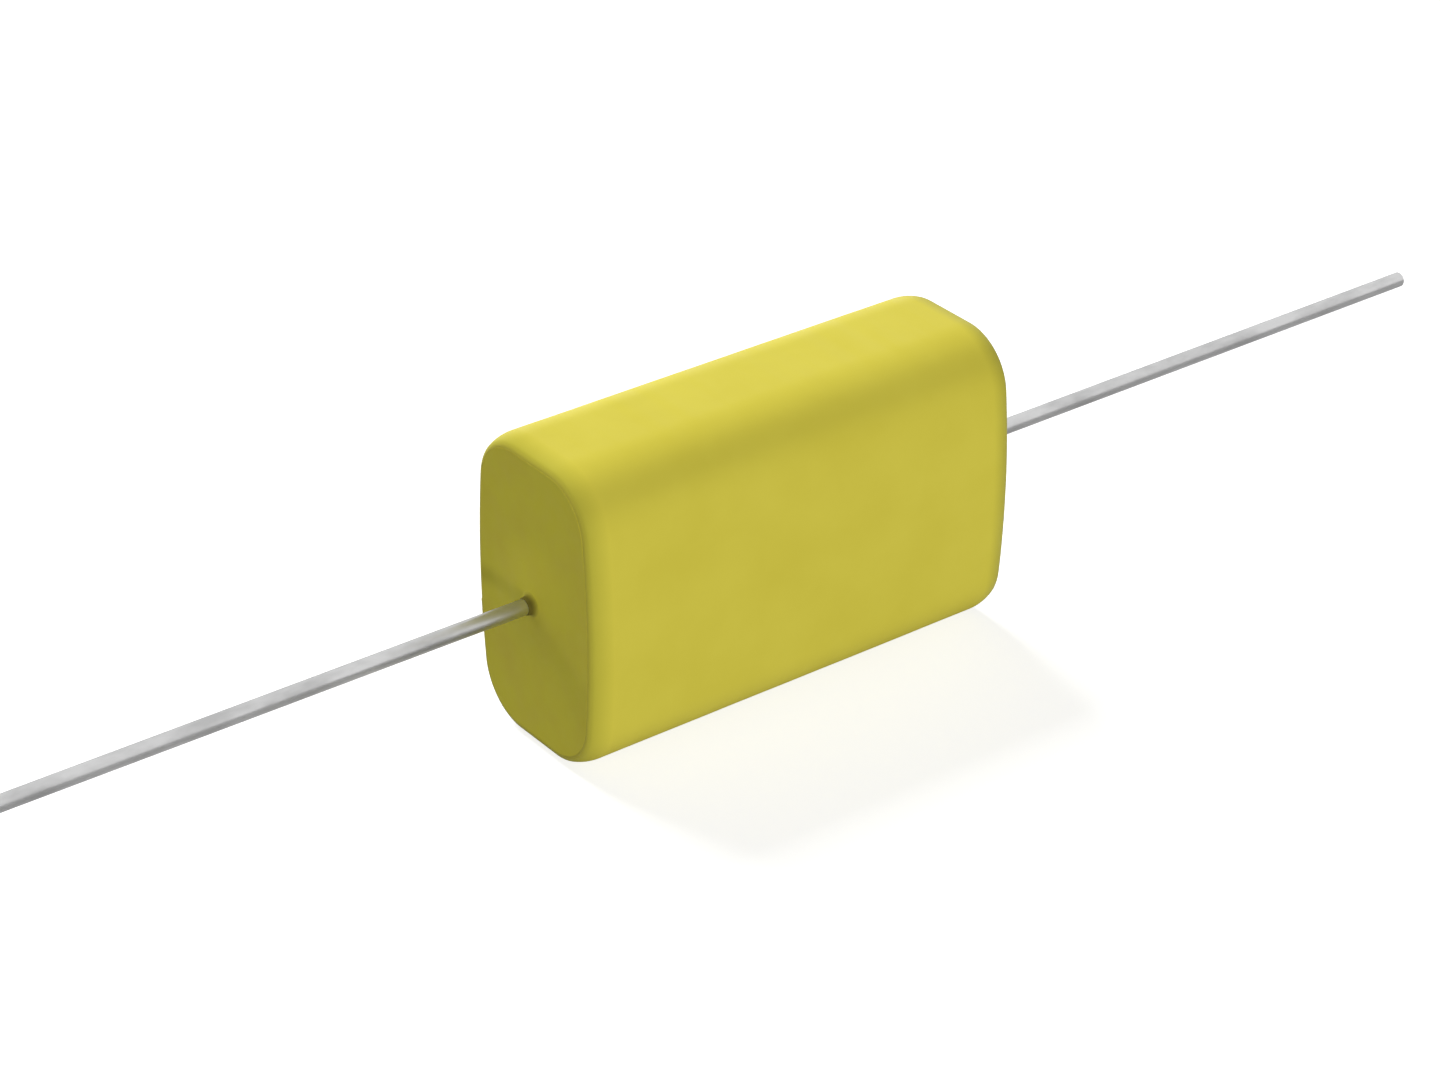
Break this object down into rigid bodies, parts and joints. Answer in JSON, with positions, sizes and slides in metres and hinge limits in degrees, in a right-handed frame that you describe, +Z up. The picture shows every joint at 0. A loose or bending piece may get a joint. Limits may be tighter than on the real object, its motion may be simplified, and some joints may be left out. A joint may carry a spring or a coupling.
{
  "type": "axial film capacitor",
  "caption": "Rounded rectangular film capacitor, wrapped in yellow tape and closed with resin at both ends, with one straight wire lead from the middle of each end.",
  "frame": {"origin": "middle of the narrow face that the body stands on", "axes": "+X along the leads, +Y through the thickness of the body, +Z up across its height"},
  "size_m": [0.1116, 0.0122, 0.02],
  "materials": {
    "film": "metallized film, wound tight",
    "sprayed_metal": "rough sprayed zinc",
    "solder": "smooth solder",
    "tinned_wire": "satin tin over copper",
    "yellow_tape": "satin polyester tape",
    "yellow_resin": "satin cast epoxy"
  },
  "bodies": {
    "root": {"film_winding": "film", "end_spray_left": "sprayed_metal", "end_spray_right": "sprayed_metal", "solder_joint_left": "solder", "solder_joint_right": "solder", "lead_left": "tinned_wire", "lead_right": "tinned_wire", "tape_wrap": "yellow_tape", "end_fill_left": "yellow_resin", "end_fill_right": "yellow_resin"}
  },
  "joints": []
}
